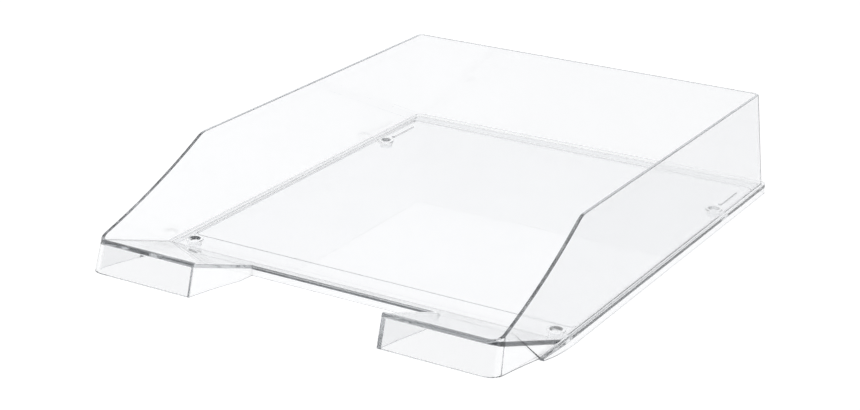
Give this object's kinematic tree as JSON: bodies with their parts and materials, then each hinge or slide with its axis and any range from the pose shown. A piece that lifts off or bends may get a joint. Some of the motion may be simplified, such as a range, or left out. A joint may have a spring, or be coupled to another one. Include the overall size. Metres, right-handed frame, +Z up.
{
  "type": "letter tray",
  "caption": "Clear moulded A4/C4 letter tray with leaning walls, sloping sides, front hoods either side of a grip cut-out, and a skirt and pegs for stacking.",
  "frame": {"origin": "middle of the footprint, on the surface that the tray stands on", "axes": "+X to the right of a person in front of the tray, +Y towards the closed back wall, +Z up"},
  "size_m": [0.255, 0.348, 0.065],
  "materials": {
    "clear_plastic": "polished, crystal clear"
  },
  "bodies": {
    "root": {"back_floor_border": "clear_plastic", "back_skirt": "clear_plastic", "back_wall": "clear_plastic", "floor_panel": "clear_plastic", "front_apron": "clear_plastic", "front_floor_strip": "clear_plastic", "front_left_peg": "clear_plastic", "front_lip": "clear_plastic", "front_right_peg": "clear_plastic", "left_floor_border": "clear_plastic", "left_front_corner": "clear_plastic", "left_hood_end": "clear_plastic", "left_hood_front": "clear_plastic", "left_hood_ramp": "clear_plastic", "left_rear_corner": "clear_plastic", "left_rib": "clear_plastic", "left_side_wall": "clear_plastic", "left_skirt": "clear_plastic", "left_skirt_corner": "clear_plastic", "rear_left_peg": "clear_plastic", "rear_right_peg": "clear_plastic", "right_floor_border": "clear_plastic", "right_front_corner": "clear_plastic", "right_hood_end": "clear_plastic", "right_hood_front": "clear_plastic", "right_hood_ramp": "clear_plastic", "right_rear_corner": "clear_plastic", "right_rib": "clear_plastic", "right_side_wall": "clear_plastic", "right_skirt": "clear_plastic", "right_skirt_corner": "clear_plastic"}
  },
  "joints": []
}
